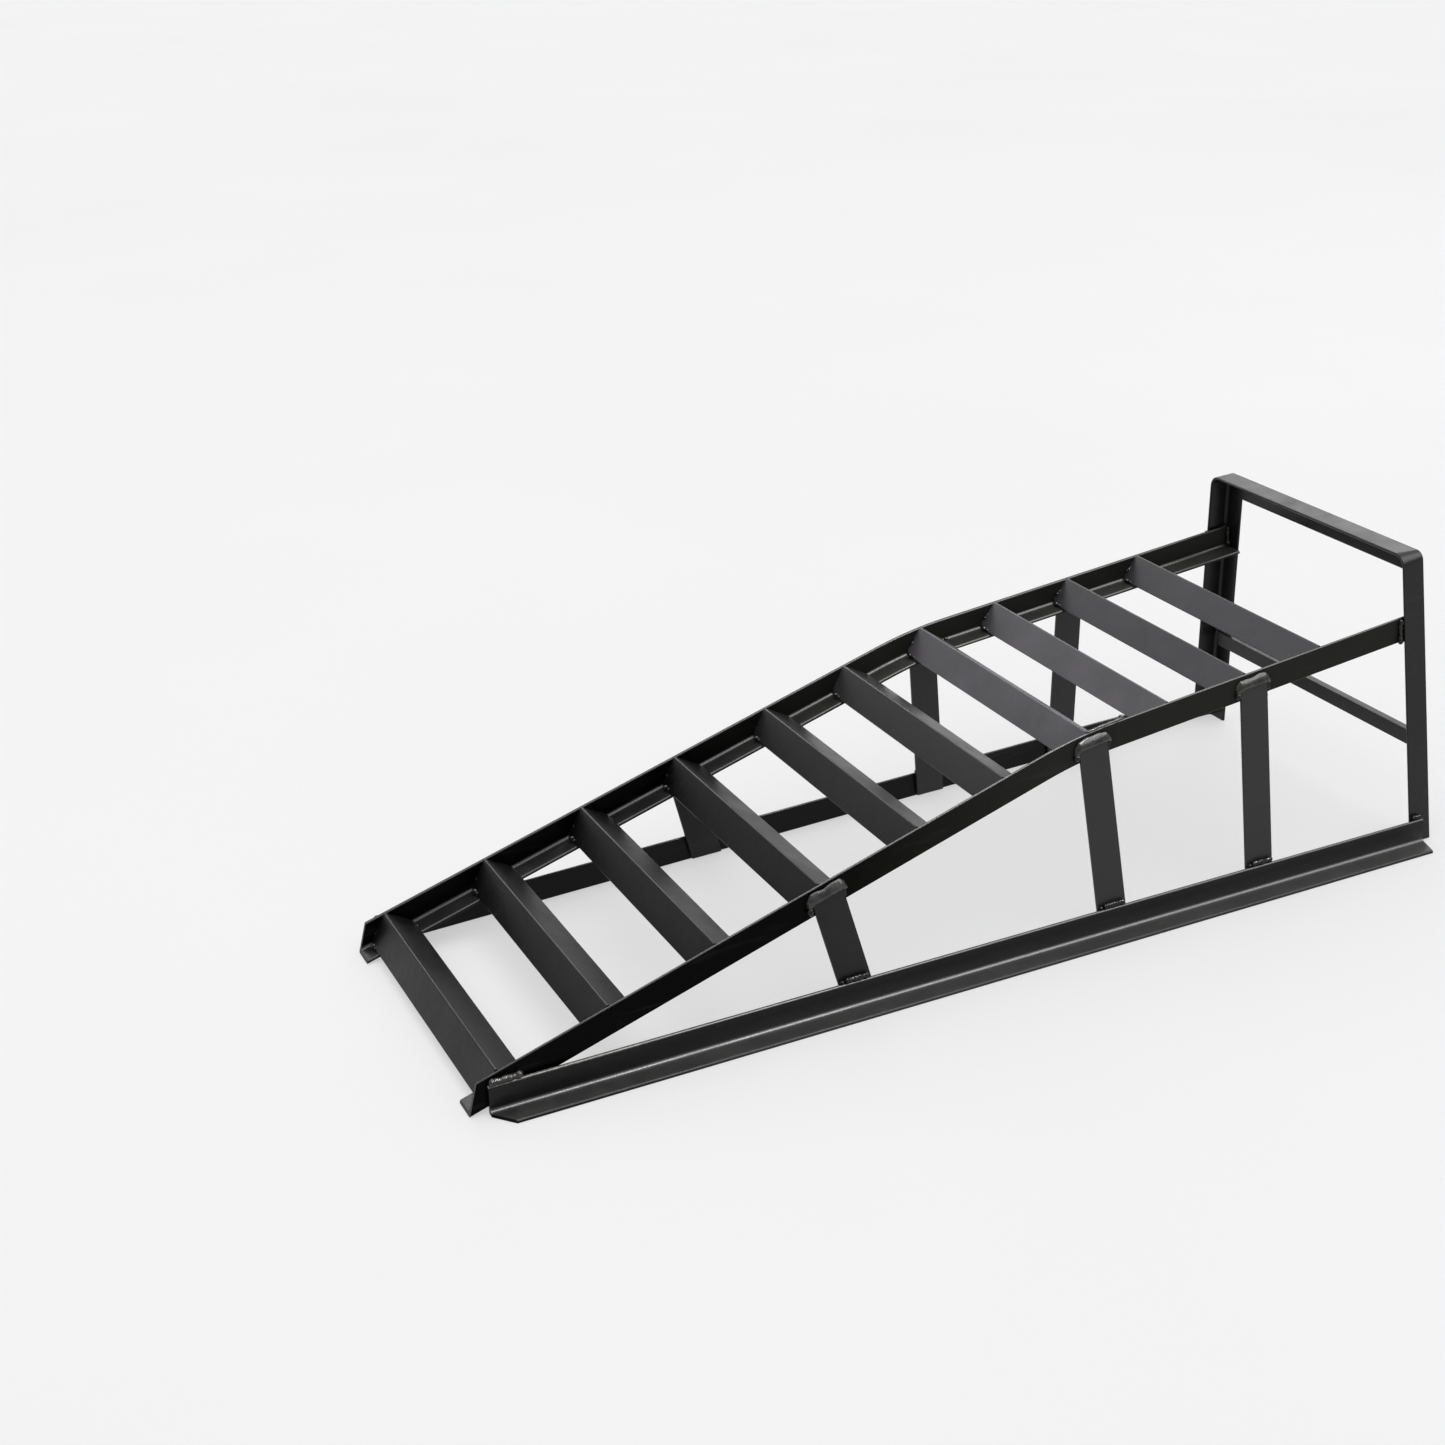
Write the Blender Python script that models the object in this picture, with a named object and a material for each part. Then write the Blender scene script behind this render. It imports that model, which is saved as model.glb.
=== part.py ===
"""Welded steel car service ramp: a tyre drives up the slope and stops against the hoop.

Metres, +Z up. The origin is on the floor at the middle of the ramp's bounding box. +X runs up
the ramp towards the wheel stop, +Y is the left side for a driver. Every member is a rolled
section cut to length, and all the joints are welds, so nothing moves.
"""
import math

import bmesh
import bpy
from mathutils import Vector

# ---------------------------------------------------------------- driving dimensions
GAP = 0.0003                 # clearance kept between neighbouring members
LENGTH = 0.961               # nose of the side rails to the back of the wheel stop
HEIGHT = 0.2865              # floor to the top of the wheel stop
REAR_X = LENGTH / 2
NOSE_X = -LENGTH / 2

ANGLE_LEG = 0.025            # frame angle 25 x 25 x 3
RUNG_LEG = 0.030             # tread angle 30 x 30 x 3
STEEL = 0.003                # thickness of every leg and flat
ROOT_RADIUS = 0.0035         # fillet in the angle's root
TOE_RADIUS = 0.0018          # rounding inside each toe
CORNER_RADIUS = 0.0015       # rounding on the angle's heel

RAIL_HALF = 0.151            # centre line to a rail's outer face
KINK_X = 0.0887              # where the slope turns into the platform, on the rail's top edge
KINK_Z = 0.1901
SLOPE = math.radians(16.05)
PLATFORM = math.radians(5.45)
BEND_RADIUS = 0.430          # the rails are bent cold, in one length
NOSE_RAKE = 0.015            # the rail's nose is cut back this far at the top

ENTRY_X = -0.4558            # ridge of the entry angle
SLOPE_PITCH = 0.0957         # horizontal pitch of the entry angle and treads 1 to 4
UPPER_PITCH = 0.0865         # horizontal pitch of treads 4 to 9
SLOPE_TREADS = 4
TREADS = 9
COPE_LENGTH = 0.0045         # the treads' lower corners are ground off to clear the root
COPE_CUT = 0.005

BASE_FRONT_X = -0.4650
BASE_REAR_X = 0.4680
BASE_FRONT_HALF = 0.1520     # centre line to the inner face of a base angle, at its front
BASE_REAR_HALF = 0.1777      # and at its rear: the base spreads towards the back
BASE_CHAMFER = 0.015         # the foot flange's front corner is cut off
BASE_REAR_SLANT = 0.28       # the rear end runs forward this much per metre of flange

HOOP_FOOT_HALF = 0.1767      # centre line to the hoop's outer face, at the floor
HOOP_TOP_HALF = 0.1503       # and at the top
HOOP_FOOT_Z = 0.001
HOOP_REAR_BEND = 0.009       # bend radius of the hoop's outer face at its back edge
HOOP_FRONT_BEND = 0.013      # and at its front edge
BEND_STEPS = 8

FLAT_WIDTH = 0.030           # uprights: flat bar 30 x 3
UPRIGHT_FOOT_Z = 0.0015
UPRIGHTS = (                 # x where it passes the base's top edge, x at the rail's lower edge
    (-0.1420, -0.1590),
    (0.1157, 0.1049),
    (0.2780, 0.2798),
)
UPRIGHT_OVERLAP = 0.012      # how far the flat runs up the rail's outer face
EDGE_ROUNDING = 0.0005       # on the edges of flat bar

CROSS_HEIGHT = 0.015         # rear cross bar: 15 x 8 flat
CROSS_DEPTH = 0.008
CROSS_HALF = 0.152
CROSS_LOW_Z = 0.0915

HEAD_WELD_LENGTH = 0.039     # the broad cap of weld over an upright's top end
HEAD_WELD_WIDTH = 0.0095
HEAD_WELD_PROUD = 0.0036
FOOT_BEAD = 0.0036           # the other beads' thickness, by place
FOOT_BEAD_LENGTH = 0.025
NOSE_BEAD = 0.0034
NOSE_BEAD_LENGTH = 0.0285
HOOP_OUTER_BEAD = 0.0034
HOOP_INNER_BEAD = 0.0040
HOOP_FOOT_BEAD = 0.0038
CROSS_BAR_BEAD = 0.0044
BEAD_INSET = 0.002           # a bead stops this short of its joint's end
BEAD_END = 0.35              # share of a bead's thickness left at its blunt ends

PAINT = (0.020, 0.020, 0.021, 1.0)
WELD_PAINT = (0.045, 0.045, 0.047, 1.0)

SIDES = (("left", 1), ("right", -1))


# ---------------------------------------------------------------- materials
def make_material(name, colour, roughness, metallic):
    material = bpy.data.materials.new(name)
    material.use_nodes = True
    shader = material.node_tree.nodes["Principled BSDF"]
    shader.inputs["Base Color"].default_value = colour
    shader.inputs["Roughness"].default_value = roughness
    shader.inputs["Metallic"].default_value = metallic
    return material


# ---------------------------------------------------------------- closed bodies from loops
def loft(name, loops, material):
    """Join equal-length loops of points into one closed body with a flat cap at each end."""
    mesh = bmesh.new()
    rings = [[mesh.verts.new(point) for point in loop] for loop in loops]
    count = len(rings[0])
    for lower, upper in zip(rings, rings[1:]):
        for i in range(count):
            j = (i + 1) % count
            mesh.faces.new((lower[i], lower[j], upper[j], upper[i]))
    mesh.faces.new(list(reversed(rings[0])))
    mesh.faces.new(rings[-1])
    bmesh.ops.remove_doubles(mesh, verts=mesh.verts, dist=1e-6)
    bmesh.ops.recalc_face_normals(mesh, faces=mesh.faces)
    data = bpy.data.meshes.new(name)
    mesh.to_mesh(data)
    mesh.free()
    data.materials.append(material)
    data.shade_smooth()
    data.set_sharp_from_angle(angle=math.radians(30))
    part = bpy.data.objects.new(name, data)
    bpy.context.scene.collection.objects.link(part)
    return part


def arc(centre, radius, start, end, steps):
    """Points of a circular arc in a section's plane, angles in degrees."""
    points = []
    for k in range(steps + 1):
        angle = math.radians(start + (end - start) * k / steps)
        points.append((centre[0] + radius * math.cos(angle), centre[1] + radius * math.sin(angle)))
    return points


def angle_section(leg):
    """Rolled equal angle: heel at (0, 0), legs along +a and +b, root fillet and rounded toes."""
    root = STEEL + ROOT_RADIUS
    toe = leg - TOE_RADIUS
    inset = STEEL - TOE_RADIUS
    points = arc((CORNER_RADIUS, CORNER_RADIUS), CORNER_RADIUS, 180, 270, 3)
    points += [(root, 0.0), (leg - inset / 2, 0.0), (leg, inset / 2)]
    points += arc((toe, inset), TOE_RADIUS, 0, 90, 3)
    points += arc((root, root), ROOT_RADIUS, 270, 180, 5)
    points += arc((inset, toe), TOE_RADIUS, 0, 90, 3)
    points += [(inset / 2, leg), (0.0, leg - inset / 2), (0.0, root)]
    return points


def flat_section(width, thickness, rounding):
    """Flat bar with slightly rounded edges, centred on a, with its face at b = 0."""
    half = width / 2 - rounding
    high = thickness - rounding
    points = []
    for centre, start in (((half, high), 0), ((-half, high), 90),
                          ((-half, rounding), 180), ((half, rounding), 270)):
        points += arc(centre, rounding, start, start + 90, 2)
    return points


# ---------------------------------------------------------------- the rails' run
def rail_stations():
    """Top edge of a rail as (x, z, tilt), from the nose over the bend to the rear end."""
    turn = SLOPE - PLATFORM
    tangent = BEND_RADIUS * math.tan(turn / 2)
    start = (KINK_X - tangent * math.cos(SLOPE), KINK_Z - tangent * math.sin(SLOPE))
    centre = (start[0] + BEND_RADIUS * math.sin(SLOPE), start[1] - BEND_RADIUS * math.cos(SLOPE))
    stations = []
    for k in range(BEND_STEPS + 1):
        tilt = SLOPE - turn * k / BEND_STEPS
        stations.append((centre[0] - BEND_RADIUS * math.sin(tilt),
                         centre[1] + BEND_RADIUS * math.cos(tilt), tilt))
    return stations


def rail_top(x):
    """Height and tilt of the rails' top edge above a given x."""
    bend = rail_stations()
    if x <= bend[0][0]:
        return bend[0][1] + (x - bend[0][0]) * math.tan(SLOPE), SLOPE
    if x >= bend[-1][0]:
        return bend[-1][1] + (x - bend[-1][0]) * math.tan(PLATFORM), PLATFORM
    for (x0, z0, tilt0), (x1, z1, tilt1) in zip(bend, bend[1:]):
        if x <= x1:
            part = (x - x0) / (x1 - x0)
            return z0 + (z1 - z0) * part, tilt0 + (tilt1 - tilt0) * part
    return bend[-1][1], PLATFORM


def tangent_and_normal(tilt):
    return Vector((math.cos(tilt), 0, math.sin(tilt))), Vector((-math.sin(tilt), 0, math.cos(tilt)))


def side_rail(name, side, material):
    """Angle with its upright leg outside and its flat leg inward at the bottom."""
    section = angle_section(ANGLE_LEG)
    outer = Vector((0, side * RAIL_HALF, 0))
    inward = Vector((0, -side, 0))
    loops = []
    along, normal = tangent_and_normal(SLOPE)
    heel_z = rail_top(NOSE_X)[0] - ANGLE_LEG / math.cos(SLOPE)
    heel = Vector((NOSE_X, 0, heel_z)) + outer
    loops.append([heel + along * (NOSE_RAKE * b / ANGLE_LEG) + inward * a + normal * b
                  for a, b in section])
    for x, z, tilt in rail_stations():
        along, normal = tangent_and_normal(tilt)
        heel = Vector((x, 0, z)) - normal * ANGLE_LEG + outer
        loops.append([heel + inward * a + normal * b for a, b in section])
    along, normal = tangent_and_normal(PLATFORM)
    end_x = REAR_X - STEEL - 3 * GAP
    end_z = rail_top(end_x)[0] - ANGLE_LEG / math.cos(PLATFORM)
    heel = Vector((end_x, 0, end_z)) + outer
    loops.append([heel + along * (b * math.tan(PLATFORM)) + inward * a + normal * b
                  for a, b in section])
    return loft(name, loops, material)


# ---------------------------------------------------------------- entry angle and treads
def tread(name, x, material):
    """Angle laid corner up between the rails, its toes resting on the rails' flat legs."""
    z, tilt = rail_top(x)
    along, normal = tangent_and_normal(tilt)
    toe_depth = (RUNG_LEG - TOE_RADIUS + STEEL - TOE_RADIUS) / math.sqrt(2) + TOE_RADIUS
    ridge = Vector((x, 0, z)) + normal * (toe_depth + GAP + STEEL - ANGLE_LEG)
    front = (-along - normal).normalized()
    rear = (along - normal).normalized()
    full = angle_section(RUNG_LEG)
    coped = angle_section(RUNG_LEG - COPE_CUT)
    end = RAIL_HALF - STEEL - GAP
    loops = []
    stations = ((-end, coped), (COPE_LENGTH - end, full), (end - COPE_LENGTH, full), (end, coped))
    for y, section in stations:
        loops.append([ridge + Vector((0, y, 0)) + front * a + rear * b for a, b in section])
    return loft(name, loops, material)


def tread_x(index):
    """X of a tread's ridge: 0 is the entry angle."""
    if index <= SLOPE_TREADS:
        return ENTRY_X + index * SLOPE_PITCH
    return ENTRY_X + SLOPE_TREADS * SLOPE_PITCH + (index - SLOPE_TREADS) * UPPER_PITCH


# ---------------------------------------------------------------- base angles
def base_inner(x):
    """Centre line to the inner face of a base angle at x."""
    share = (x - BASE_FRONT_X) / (BASE_REAR_X - BASE_FRONT_X)
    return BASE_FRONT_HALF + (BASE_REAR_HALF - BASE_FRONT_HALF) * share


def base_angle(name, side, material):
    """Angle on the floor: one leg up against the rail and uprights, one leg flat, outward."""
    section = angle_section(ANGLE_LEG)
    root = STEEL + ROOT_RADIUS
    slope = BASE_CHAMFER / (ANGLE_LEG - root)
    loops = []
    for front in (True, False):
        loop = []
        for a, b in section:
            x = BASE_REAR_X - a * BASE_REAR_SLANT
            if front:
                x = BASE_FRONT_X + max(0.0, a - root) * slope
            loop.append(Vector((x, side * (base_inner(x) + a), b)))
        loops.append(loop)
    return loft(name, loops, material)


# ---------------------------------------------------------------- wheel stop hoop
def hoop_lean():
    return math.atan2(HOOP_FOOT_HALF - HOOP_TOP_HALF, HEIGHT)


def hoop_outer(z):
    """Centre line to the hoop leg's outer face at height z."""
    return HOOP_FOOT_HALF - (HOOP_FOOT_HALF - HOOP_TOP_HALF) * z / HEIGHT


def hoop_corner(depth):
    """Where the leg's and the top's faces meet, both moved inward by depth."""
    lean = hoop_lean()
    z = HEIGHT - depth
    y = (HOOP_FOOT_HALF * math.cos(lean) - depth - z * math.sin(lean)) / math.cos(lean)
    return y, z


def hoop_point(a, b, angle):
    """Section point at one station of the corner bend, for the left corner, as (y, z)."""
    radius = HOOP_REAR_BEND + (HOOP_FRONT_BEND - HOOP_REAR_BEND) * a / ANGLE_LEG
    if b >= radius:
        return hoop_corner(b)
    y, z = hoop_corner(radius)
    return y + (radius - b) * math.cos(angle), z + (radius - b) * math.sin(angle)


def wheel_stop_hoop(name, material):
    """Angle bent to an upside-down U: the band faces outward, the flange is at the back."""
    section = angle_section(ANGLE_LEG)
    lean = hoop_lean()
    half = []
    foot = []
    for a, b in section:
        y = hoop_outer(HOOP_FOOT_Z) - b / math.cos(lean)
        foot.append((REAR_X - a, y, HOOP_FOOT_Z))
    half.append(foot)
    for k in range(BEND_STEPS + 1):
        angle = lean + (math.pi / 2 - lean) * k / BEND_STEPS
        half.append([(REAR_X - a, *hoop_point(a, b, angle)) for a, b in section])
    loops = [[Vector(point) for point in loop] for loop in half]
    loops += [[Vector((x, -y, z)) for x, y, z in loop] for loop in reversed(half)]
    return loft(name, loops, material)


# ---------------------------------------------------------------- uprights and cross bar
def upright_axis(index, side):
    """Foot and head centres of an upright's outer face line, and its unit direction."""
    foot_x, head_x = UPRIGHTS[index]
    head_z = rail_top(head_x)[0] - ANGLE_LEG / math.cos(rail_top(head_x)[1])
    lean_x = (head_x - foot_x) / (head_z - ANGLE_LEG)
    low_x = foot_x - lean_x * (ANGLE_LEG - UPRIGHT_FOOT_Z)
    top_z = head_z + UPRIGHT_OVERLAP
    top_x = head_x + lean_x * UPRIGHT_OVERLAP
    low_y = base_inner(low_x - FLAT_WIDTH / 2) - GAP
    top_y = RAIL_HALF + GAP + STEEL
    foot = Vector((low_x, side * low_y, UPRIGHT_FOOT_Z))
    head = Vector((top_x, side * top_y, top_z))
    return foot, head, (head - foot).normalized()


def upright(name, index, side, material):
    """Flat bar from inside the base angle's leg up onto the rail's outer face."""
    foot, head, axis = upright_axis(index, side)
    across = Vector((axis.z, 0, -axis.x)).normalized()
    inward = axis.cross(across).normalized()
    if inward.y * side > 0:
        inward = -inward
    tilt = math.tan(rail_top(head.x)[1])
    low = []
    high = []
    for a, b in flat_section(FLAT_WIDTH, STEEL, EDGE_ROUNDING):
        offset = across * a + inward * b
        start = foot + offset
        low.append(start + axis * ((foot.z - start.z) / axis.z))
        start = head + offset
        rise = head.z + (start.x - head.x) * tilt - start.z
        high.append(start + axis * (rise / (axis.z - axis.x * tilt)))
    return loft(name, [low, high], material)


def rear_cross_bar(name, material):
    """Flat bar across the hoop, in front of its flange."""
    front = REAR_X - STEEL - GAP - CROSS_DEPTH
    middle = CROSS_LOW_Z + CROSS_HEIGHT / 2
    loops = []
    for y in (-CROSS_HALF, CROSS_HALF):
        loops.append([Vector((front + b, y, middle + a))
                      for a, b in flat_section(CROSS_HEIGHT, CROSS_DEPTH, EDGE_ROUNDING)])
    return loft(name, loops, material)


# ---------------------------------------------------------------- weld beads
def weld_bead(name, start, end, wide, proud, width, height, material):
    """Rounded bead from start to end: wide and proud are unit directions across it."""
    stations = 7
    sides = 10
    loops = []
    for k in range(stations):
        share = k / (stations - 1)
        swell = max(BEAD_END, math.sqrt(1 - abs(2 * share - 1) ** 3))
        centre = start.lerp(end, share)
        loop = []
        for i in range(sides):
            angle = 2 * math.pi * i / sides
            offset = wide * (width / 2 * swell * math.cos(angle))
            offset += proud * (height / 2 * swell * math.sin(angle))
            loop.append(centre + offset)
        loops.append(loop)
    return loft(name, loops, material)


def head_weld(name, index, side, material):
    """Broad bead laid along an upright's top end, on the rail's outer face."""
    head = upright_axis(index, side)[1]
    tilt = rail_top(head.x)[1]
    along, normal = tangent_and_normal(tilt)
    out = Vector((0, side, 0))
    centre = head + normal * (HEAD_WELD_WIDTH / 2 + 2 * GAP)
    centre.y = side * (RAIL_HALF + GAP + HEAD_WELD_PROUD / 2)
    reach = along * (HEAD_WELD_LENGTH / 2)
    return weld_bead(name, centre - reach, centre + reach, normal, out,
                     HEAD_WELD_WIDTH, HEAD_WELD_PROUD, material)


def round_bead(name, start, end, side, size, material):
    """Bead with a round section along a joint that runs level or upright."""
    across = Vector((0, side, 0))
    square = (end - start).normalized().cross(across)
    return weld_bead(name, start, end, across, square, size, size, material)


def base_spread():
    """How fast a base angle runs outward, per metre towards the rear."""
    return (BASE_REAR_HALF - BASE_FRONT_HALF) / (BASE_REAR_X - BASE_FRONT_X)


def foot_weld(name, index, side, material):
    """Bead along the base leg's top edge, in front of an upright."""
    foot, _, axis = upright_axis(index, side)
    rise = ANGLE_LEG + GAP + FOOT_BEAD / 2
    centre = foot + axis * ((rise - foot.z) / axis.z)
    centre.y += side * (FOOT_BEAD / 2 + 3 * GAP)
    reach = Vector((1, side * base_spread(), 0)) * (FOOT_BEAD_LENGTH / 2)
    return round_bead(name, centre - reach, centre + reach, side, FOOT_BEAD, material)


def nose_weld(name, side, material):
    """Bead where the base leg's top edge meets the rail, at the nose."""
    start = Vector((BASE_FRONT_X + 2 * GAP, 0, ANGLE_LEG + GAP + NOSE_BEAD / 2))
    start.y = side * (RAIL_HALF + GAP + NOSE_BEAD / 2)
    end = start + Vector((1, side * base_spread(), 0)) * NOSE_BEAD_LENGTH
    return round_bead(name, start, end, side, NOSE_BEAD, material)


def hoop_outer_weld(name, side, material):
    """Upright bead between the rail's outer face and the hoop band's front edge."""
    x = REAR_X - ANGLE_LEG - GAP - HOOP_OUTER_BEAD / 2
    y = side * (RAIL_HALF + GAP + HOOP_OUTER_BEAD / 2)
    top = rail_top(x)[0]
    low = Vector((x, y, top - ANGLE_LEG + BEAD_INSET))
    high = Vector((x, y, top - BEAD_INSET))
    return round_bead(name, low, high, side, HOOP_OUTER_BEAD, material)


def hoop_inner_weld(name, side, material):
    """Upright bead where the rail's inner face butts against the hoop's flange."""
    x = REAR_X - STEEL - GAP - HOOP_INNER_BEAD / 2
    y = side * (RAIL_HALF - STEEL - GAP - HOOP_INNER_BEAD / 2)
    top = rail_top(x)[0]
    low = Vector((x, y, top - ANGLE_LEG + STEEL + ROOT_RADIUS))
    high = Vector((x, y, top - BEAD_INSET))
    return round_bead(name, low, high, side, HOOP_INNER_BEAD, material)


def hoop_foot_weld(name, side, material):
    """Bead on the base leg's top edge, against the hoop's outer face."""
    z = ANGLE_LEG + GAP + HOOP_FOOT_BEAD / 2
    y = side * (hoop_outer(z) + GAP + HOOP_FOOT_BEAD / 2)
    start = Vector((REAR_X - ANGLE_LEG + BEAD_INSET, y, z))
    end = Vector((BASE_REAR_X - BEAD_INSET, y, z))
    return round_bead(name, start, end, side, HOOP_FOOT_BEAD, material)


def cross_bar_weld(name, side, material):
    """Bead at the cross bar's end, on the front of the hoop's flange."""
    x = REAR_X - STEEL - GAP - CROSS_BAR_BEAD / 2
    y = side * (CROSS_HALF + GAP + CROSS_BAR_BEAD / 2)
    low = Vector((x, y, CROSS_LOW_Z + BEAD_INSET))
    high = Vector((x, y, CROSS_LOW_Z + CROSS_HEIGHT - BEAD_INSET))
    return round_bead(name, low, high, side, CROSS_BAR_BEAD, material)


# ---------------------------------------------------------------- assembly
def build():
    for item in list(bpy.data.objects):
        bpy.data.objects.remove(item)
    paint = make_material("satin_black_paint", PAINT, 0.42, 0.0)
    weld = make_material("painted_weld", WELD_PAINT, 0.30, 0.0)
    tread("entry_angle", tread_x(0), paint)
    for index in range(1, TREADS + 1):
        tread(f"tread_{index}", tread_x(index), paint)
    wheel_stop_hoop("wheel_stop_hoop", paint)
    rear_cross_bar("rear_cross_bar", paint)
    for word, side in SIDES:
        side_rail(f"side_rail_{word}", side, paint)
        base_angle(f"base_angle_{word}", side, paint)
        nose_weld(f"nose_weld_{word}", side, weld)
        hoop_outer_weld(f"hoop_outer_weld_{word}", side, weld)
        hoop_inner_weld(f"hoop_inner_weld_{word}", side, weld)
        hoop_foot_weld(f"hoop_foot_weld_{word}", side, weld)
        cross_bar_weld(f"cross_bar_weld_{word}", side, weld)
        for index in range(len(UPRIGHTS)):
            number = index + 1
            upright(f"upright_{word}_{number}", index, side, paint)
            head_weld(f"upright_head_weld_{word}_{number}", index, side, weld)
            foot_weld(f"upright_foot_weld_{word}_{number}", index, side, weld)


build()
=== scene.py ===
"""Looks of the welded car service ramp: paint, weld beads, floor, light and camera."""
import math
import random

import bmesh
import bpy
from mathutils import Matrix, Vector


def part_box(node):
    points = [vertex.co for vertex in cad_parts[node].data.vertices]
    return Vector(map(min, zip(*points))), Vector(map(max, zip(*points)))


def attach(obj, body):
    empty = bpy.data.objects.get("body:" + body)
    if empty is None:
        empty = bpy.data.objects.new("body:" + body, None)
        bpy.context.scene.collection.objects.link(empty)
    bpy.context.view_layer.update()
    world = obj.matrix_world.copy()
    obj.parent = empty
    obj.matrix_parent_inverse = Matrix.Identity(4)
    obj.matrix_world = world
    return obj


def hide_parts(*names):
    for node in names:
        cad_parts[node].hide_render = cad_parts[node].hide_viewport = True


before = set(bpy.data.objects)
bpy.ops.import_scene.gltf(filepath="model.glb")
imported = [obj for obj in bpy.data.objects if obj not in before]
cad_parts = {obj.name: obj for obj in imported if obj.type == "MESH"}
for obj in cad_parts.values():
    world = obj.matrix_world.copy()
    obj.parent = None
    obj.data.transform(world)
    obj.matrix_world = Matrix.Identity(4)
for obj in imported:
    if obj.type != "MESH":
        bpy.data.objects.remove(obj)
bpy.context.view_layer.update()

BODY = "root"
SIDES = (("left", 1), ("right", -1))
UPRIGHTS = (1, 2, 3)                 # on each side, counted from the nose
TREADS = 9
FIRST_DECK_TREAD = 6                 # the first one behind the bend
FIRST_DECK_REAR_TREAD = 8
MM = 0.001


# ---------------------------------------------------------------- node helpers
class Nodes:
    """A material's node tree, with short calls for the nodes used here."""

    def __init__(self, name):
        self.material = bpy.data.materials.new(name)
        self.material.use_nodes = True
        self.tree = self.material.node_tree
        self.shader = self.tree.nodes["Principled BSDF"]
        self.position = self.tree.nodes.new("ShaderNodeTexCoord").outputs["Object"]

    def link(self, source, target):
        self.tree.links.new(source, target)

    def noise(self, scale, detail=3.0, roughness=0.55, distortion=0.0, stretch=None):
        """Noise with features 1/scale metres across, stretched where stretch is given."""
        node = self.tree.nodes.new("ShaderNodeTexNoise")
        node.inputs["Scale"].default_value = scale
        node.inputs["Detail"].default_value = detail
        node.inputs["Roughness"].default_value = roughness
        node.inputs["Distortion"].default_value = distortion
        source = self.position
        if stretch:
            mapping = self.tree.nodes.new("ShaderNodeMapping")
            mapping.inputs["Scale"].default_value = stretch
            self.link(source, mapping.inputs["Vector"])
            source = mapping.outputs["Vector"]
        self.link(source, node.inputs["Vector"])
        return node.outputs["Fac"]

    def ramp(self, value, low, high, start=0.0, end=1.0):
        """Straight ramp of value from low..high to start..end, held at both ends."""
        node = self.tree.nodes.new("ShaderNodeMapRange")
        node.clamp = True
        for name, number in (("From Min", low), ("From Max", high), ("To Min", start), ("To Max", end)):
            node.inputs[name].default_value = number
        self.link(value, node.inputs["Value"])
        return node.outputs["Result"]

    def math(self, kind, first, second):
        node = self.tree.nodes.new("ShaderNodeMath")
        node.operation = kind
        for socket, value in zip(node.inputs, (first, second)):
            if isinstance(value, (int, float)):
                socket.default_value = value
            else:
                self.link(value, socket)
        return node.outputs[0]

    def mix(self, share, first, second):
        """Colour mix: first and second are colours or sockets."""
        node = self.tree.nodes.new("ShaderNodeMix")
        node.data_type = "RGBA"
        self.link(share, node.inputs["Factor"])
        for socket, value in ((node.inputs[6], first), (node.inputs[7], second)):
            if isinstance(value, tuple):
                socket.default_value = (*value, 1.0)
            else:
                self.link(value, socket)
        return node.outputs[2]

    def bump(self, height, distance, strength, under=None):
        node = self.tree.nodes.new("ShaderNodeBump")
        node.inputs["Strength"].default_value = strength
        node.inputs["Distance"].default_value = distance
        self.link(height, node.inputs["Height"])
        if under:
            self.link(under, node.inputs["Normal"])
        return node.outputs["Normal"]

    def along(self, low, high):
        """0 to 1 along the ramp's length, between two places in metres."""
        split = self.tree.nodes.new("ShaderNodeSeparateXYZ")
        self.link(self.position, split.inputs[0])
        return self.ramp(split.outputs["X"], low, high)

    def height(self, low, high):
        """0 to 1 between two heights in metres."""
        split = self.tree.nodes.new("ShaderNodeSeparateXYZ")
        self.link(self.position, split.inputs[0])
        return self.ramp(split.outputs["Z"], low, high)

    def facing_up(self, low=0.35, high=0.95):
        """1 on faces that look straight up, 0 on upright ones."""
        geometry = self.tree.nodes.new("ShaderNodeNewGeometry")
        split = self.tree.nodes.new("ShaderNodeSeparateXYZ")
        self.link(geometry.outputs["Normal"], split.inputs[0])
        return self.ramp(split.outputs["Z"], low, high)


# ---------------------------------------------------------------- materials
WHITE = (1.0, 1.0, 1.0)
NEUTRAL = (1.0, 1.0, 0.99)
VIOLET = (1.0, 0.94, 1.10)           # the deck treads' lighter copies have a faint violet cast
DUST = (0.060, 0.058, 0.056)
SCUFF = (0.045, 0.044, 0.043)
RUBBED_STEEL = (0.150, 0.142, 0.118)
SLAG = (0.20, 0.195, 0.19)
REAR_SHEEN_RUN = (-0.15, 0.05)              # where along the ramp the painted light sets in: the coat is drawn lighter towards the rear, for its brighter reflections there
ROOT_SHEEN_HEIGHTS = (0.0170, 0.0060)         # heights between which the painted highlight near the floor sets in
ROOT_SHEEN_RUN = (-0.42, -0.22)           # and where along the ramp
RUBBED_TOP = (0.0230, 0.0240)        # heights of the base angle's rubbed top edge
RUBBED_RUN = (-0.28, -0.38)
DULL_TOE = (0.0027, 0.0030)          # below this the flat leg's toe is dull

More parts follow.
